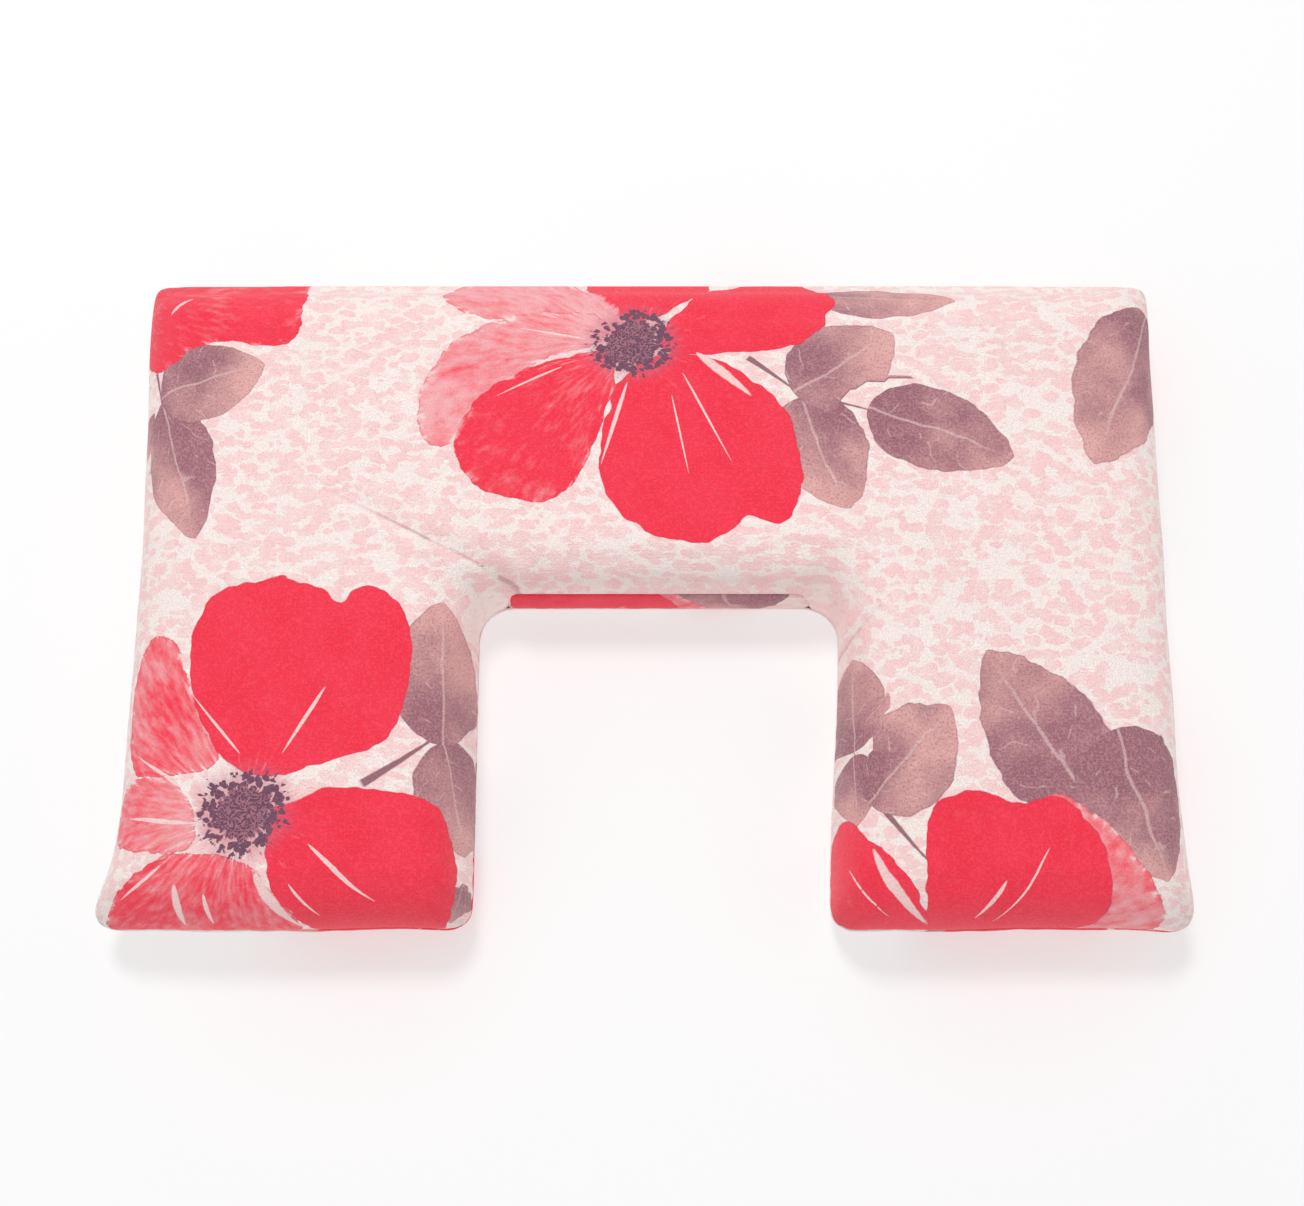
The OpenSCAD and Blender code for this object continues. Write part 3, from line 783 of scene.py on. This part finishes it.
def stuffed(panels, most):
    """Sews the panels into a shell, lets its filling press it out, and gives back the panels' points."""
    points = np.vstack([p for p, _ in panels])
    starts = np.cumsum([0] + [len(p) for p, _ in panels])[:-1]
    _, first, where = np.unique(np.round(points, 5), axis=0, return_index=True, return_inverse=True)
    where = where.ravel()
    sewn, faces = points[first, 2] < 0.0015, []
    for (_, quads), start in zip(panels, starts):
        quads = where[quads + start]
        sewn[open_edges(quads)] = True
        faces += [f for f in (list(dict.fromkeys(q)) for q in quads.tolist()) if len(f) > 2]
    shell = cloth_object("shell", points[first], faces)
    outward = np.array([v.normal for v in shell.data.vertices])
    held = shell.vertex_groups.new(name="held")
    held.add([int(i) for i in np.flatnonzero(sewn)], 1.0, "REPLACE")
    stuffing = shell.modifiers.new("stuffing", "CLOTH")
    stuffing.settings.vertex_group_mass = "held"
    stuffing.settings.quality, stuffing.settings.mass = 4, 0.15
    stuffing.settings.bending_stiffness, stuffing.settings.shrink_min = 0.3, -0.010
    stuffing.settings.use_pressure, stuffing.settings.uniform_pressure_force = True, 4.0
    stuffing.settings.effector_weights.gravity = 0
    stuffing.point_cache.frame_start, stuffing.point_cache.frame_end = 1, 20
    for frame_number in range(1, 21):
        scene.frame_set(frame_number)
    finished(shell)
    # The foam lets the cloth lift off it but not sink in, and holds it against sliding.
    moved = rows_of(shell.data.vertices, "co") - points[first]
    off_foam = (moved * outward).sum(1)
    slid = moved - outward * off_foam[:, None]
    most = most * (0.35 + 0.65 * np.clip(outward[:, 2], 0, 1))
    slid *= np.minimum(1, 0.3 * most / np.maximum(np.linalg.norm(slid, axis=1), 1e-9))[:, None]
    moved = outward * np.clip(off_foam, 0, most)[:, None] + slid * (off_foam > 0)[:, None]
    bpy.data.objects.remove(shell)
    return np.split(points + moved[where], starts[1:])


most_swell = 0.0028
upper, lower, strip = stuffed([(upper, shape.quads), (lower, shape.quads[:, ::-1]), (strip, strip_quads)],
                              most_swell)

top = cover_panel("cover_top_panel_cloth", upper, upper_cloth, shape.quads, True)
base_cloth = lower_cloth * (-1, 1) + (0.060, 0.020)
base = cover_panel("cover_bottom_panel_cloth", lower, base_cloth, shape.quads[:, ::-1], False)
gusset = cover_panel("notch_gusset_cloth", strip, strip_cloth, strip_quads, False)
fit(top, "cover_top_panel")
fit(base, "cover_bottom_panel")
fit(gusset, "notch_gusset")

# ---------------------------------------------------------------- zip window stitching
# Polyester thread that holds the folded edges of the cover down on the zip's tapes, one
# row above the window and one below it.


class Pattern:
    """A Geometry Nodes tree with named inputs, and the plain mesh that it makes."""

    sockets = {float: "NodeSocketFloat", int: "NodeSocketInt", tuple: "NodeSocketVector"}

    def __init__(self, name, **inputs):
        self.tree = bpy.data.node_groups.new(name, "GeometryNodeTree")
        self.sizes, new_socket = inputs, self.tree.interface.new_socket
        new_socket("Path", in_out="INPUT", socket_type="NodeSocketGeometry")
        self.ids = {label: new_socket(label, in_out="INPUT", socket_type=self.sockets[type(value)]).identifier
                    for label, value in inputs.items()}
        self.finish_id = new_socket("finish", in_out="INPUT", socket_type="NodeSocketMaterial").identifier
        new_socket("Geometry", in_out="OUTPUT", socket_type="NodeSocketGeometry")
        self.given = self.tree.nodes.new("NodeGroupInput").outputs

    def node(self, kind, settings=None, inputs=None):
        return add_node(self.tree, kind, settings, inputs)

    def ends_in(self, geometry):
        whole = self.node("GeometryNodeRealizeInstances", None, {0: geometry})[0]
        faced = self.node("GeometryNodeSetMaterial", None, {0: whole, "Material": self.given["finish"]})[0]
        self.tree.links.new(faced, self.tree.nodes.new("NodeGroupOutput").inputs[0])

    def piece(self, name, finish, path=(), **sizes):
        """Runs the tree along a path and gives its result as a piece of plain mesh."""
        mesh = bpy.data.meshes.new(name)
        mesh.from_pydata([tuple(p) for p in path], [(i, i + 1) for i in range(len(path) - 1)], [])
        made = bpy.data.objects.new(name, mesh)
        scene.collection.objects.link(made)
        run = made.modifiers.new("pattern", "NODES")
        run.node_group = self.tree
        for label, value in {**self.sizes, **sizes}.items():
            run[self.ids[label]] = value
        run[self.finish_id] = finish
        return finished(made)


stitch = Pattern("running stitch", spacing=0.0036, length=0.0027, thickness=0.00055)
spacing, length, thickness = (stitch.given[size] for size in ("spacing", "length", "thickness"))
seam_line = stitch.node("GeometryNodeMeshToCurve", None, {0: stitch.given["Path"]})[0]
holes = stitch.node("GeometryNodeResampleCurve", {"mode": "LENGTH"}, {
    "Curve": seam_line, "Length": spacing})[0]
thread = stitch.node("GeometryNodeMeshUVSphere", None, {"Segments": 8, "Rings": 6, "Radius": 0.5})[0]
stretch = stitch.node("ShaderNodeCombineXYZ", None, {0: length, 1: thickness, 2: thickness})[0]
thread = stitch.node("GeometryNodeTransform", None, {"Geometry": thread, "Scale": stretch})[0]
way = stitch.node("GeometryNodeInputTangent")[0]
turn = stitch.node("FunctionNodeAlignRotationToVector", {"axis": "X"}, {"Vector": way})[0]
stitch.ends_in(stitch.node("GeometryNodeInstanceOnPoints", None, {
    "Points": holes, "Instance": thread, "Rotation": turn})[0])

sewing_thread = Dye("sewing_thread", 0.55)
twist = sewing_thread.node("TexWave", {"bands_direction": "DIAGONAL"},
                           {"Vector": sewing_thread.place(), "Scale": 900.0})[1]
sewing_thread.finish(sewing_thread.mix(twist, ink(232, 196, 192), ink(252, 232, 226)), twist, 0.0001)
bpy.context.view_layer.update()
row_height, row_reach, proud = 0.0088, 0.2220, 0.0002
for panel, name, height in ((top, "upper", row_height), (base, "lower", -row_height)):
    row = []
    for x in np.linspace(-row_reach, row_reach, 112):
        hit = panel.ray_cast((x, half_depth + 0.03, side_seam + height), (0, -1, 0))[1]
        row.append(np.array(hit) + (0, proud, 0))
    fit(stitch.piece("zip_stitching_" + name, sewing_thread.material, row))

# ---------------------------------------------------------------- zip tapes
# Two woven polyester tapes behind the window, sewn to the cover's folded edges. They are
# woven in a herringbone, with a firmer cord along the edge that the coils are sewn to.
tape = Dye("woven_zip_tape", 0.8)
run, _, rise_up = tape.node("SeparateXYZ", None, {0: tape.place()})
zigzag = abs((rise_up * 420).math("FRACT") - 0.5) * 2
rib = abs(((run * 1300) + zigzag * 1.2).math("FRACT") - 0.5) * 2
tape_tone = rib * 0.6 + tape.grain(tape.place(), 0.004) * 0.4
tape.finish(tape.mix(tape_tone, ink(231, 188, 186), ink(248, 219, 213)), rib, 0.00012)
for name in ("zip_tape_upper", "zip_tape_lower"):
    frame["nodes"][name].data.materials.clear()
    frame["nodes"][name].data.materials.append(tape.material)

# ---------------------------------------------------------------- zip coils
# Nylon thread wound into a flat spiral and sewn along each tape's edge. Its heads stand
# over the gap between the tapes, and the slider presses the two sets of heads together.
coil_pitch, coil_thread = 0.0025, 0.00032
spiral = Pattern("wound coil", length=0.435, turns=174.0, radius=0.0008, thread_radius=coil_thread,
                 place=(0.0, 0.0, 0.0))
winding = spiral.node("GeometryNodeCurveSpiral", None, {
    "Resolution": 12, "Rotations": spiral.given["turns"], "Start Radius": spiral.given["radius"],
    "End Radius": spiral.given["radius"], "Height": spiral.given["length"]})[0]
section = spiral.node("GeometryNodeCurvePrimitiveCircle", None,
                      {"Resolution": 6, "Radius": spiral.given["thread_radius"]})[0]
wire = spiral.node("GeometryNodeCurveToMesh", None, {
    "Curve": winding, "Profile Curve": section, "Fill Caps": True})[0]
spiral.ends_in(spiral.node("GeometryNodeTransform", None, {
    "Geometry": wire, "Rotation": (0, math.pi / 2, 0), "Translation": spiral.given["place"]})[0])
nylon = Dye("coil_nylon", 0.35, coat_weight=0.2)
milky = nylon.mix(nylon.grain(nylon.place(), 0.006), ink(240, 206, 202), ink(252, 228, 222))
nylon.finish(milky, nylon.grain(nylon.place(), 0.0005), 0.00003)
for name in ("zip_coil_upper", "zip_coil_lower"):
    low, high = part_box(name)
    middle = (low + high) / 2
    coil = spiral.piece(name + "_winding", nylon.material, length=high.x - low.x,
                        turns=(high.x - low.x) / coil_pitch, radius=(high.y - low.y) / 2 - coil_thread,
                        place=(low.x, middle.y, middle.z))
    fit(coil, name)
    chain = [(x, high.y - 0.0001, middle.z) for x in np.linspace(low.x + 0.001, high.x - 0.001, 60)]
    stitching = stitch.piece(name + "_stitching", sewing_thread.material, chain, spacing=coil_pitch,
                                     length=0.0021, thickness=0.0004)
    fit(stitching)

# ---------------------------------------------------------------- meshed heads
# Behind the slider the heads of the two coils lie between each other and close the gap.
# They come apart again as the slider passes; this row runs from the bottom stop to the slider where it rests.
head_pitch = coil_pitch / 2
heads = Pattern("meshed heads", count=300, pitch=head_pitch, size=(0.00085, 0.0011, 0.0026),
                first=(0.0, 0.0, 0.0))
next_head = heads.node("ShaderNodeCombineXYZ", None, {0: heads.given["pitch"]})[0]
heads_line = heads.node("GeometryNodeMeshLine", None, {
    "Count": heads.given["count"], "Start Location": heads.given["first"], "Offset": next_head})[0]
head = heads.node("GeometryNodeMeshUVSphere", None, {"Segments": 8, "Rings": 5, "Radius": 0.5})[0]
heads.ends_in(heads.node("GeometryNodeInstanceOnPoints", None, {
    "Points": heads_line, "Instance": head, "Scale": heads.given["size"]})[0])
stop_side, slider_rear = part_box("zip_bottom_stop")[1].x + 0.0008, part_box("zip_slider")[0].x + 0.0015
low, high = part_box("zip_coil_upper")
meshed = heads.piece("zip_meshed_heads", nylon.material, count=int((slider_rear - stop_side) / head_pitch),
                     first=(stop_side, (low.y + high.y) / 2 - 0.0001, side_seam))
fit(meshed)
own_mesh(meshed)

# ---------------------------------------------------------------- zip metal
# Plated zinc: stops pressed over the coils' ends, a cast slider that runs on the heads,
# and its pull, a stamped tab on the slider's bridge. Their edges are tumbled smooth.
plated = Dye("plated_zinc", 0.28, metallic=1.0)
brushed = plated.grain(plated.place(stretch=(1, 6, 1)), 0.0006, 4.0, 0.6)
rubbed = plated.grain(plated.place(), 0.003)
silver = plated.mix(rubbed, ink(196, 194, 192), ink(226, 224, 220))
plated.finish(silver, brushed, 0.00002, rubbed * 0.18 + 0.2)
edge_round = 0.00014
for name, body in (("zip_top_stop_upper", "pillow"), ("zip_top_stop_lower", "pillow"),
                   ("zip_bottom_stop", "pillow"), ("zip_slider", "slider"), ("zip_pull", "pull")):
    metal = bpy.data.objects.new(name + "_metal", frame["nodes"][name].data.copy())
    scene.collection.objects.link(metal)
    weld(metal, level=math.radians(1))
    rounding = metal.modifiers.new("tumbled edges", "BEVEL")
    rounding.width, rounding.segments, rounding.limit_method = edge_round, 2, "ANGLE"
    rounding.harden_normals = True
    metal.data.materials.clear()
    metal.data.materials.append(plated.material)
    finished(metal)
    fit(metal, name, body=body)
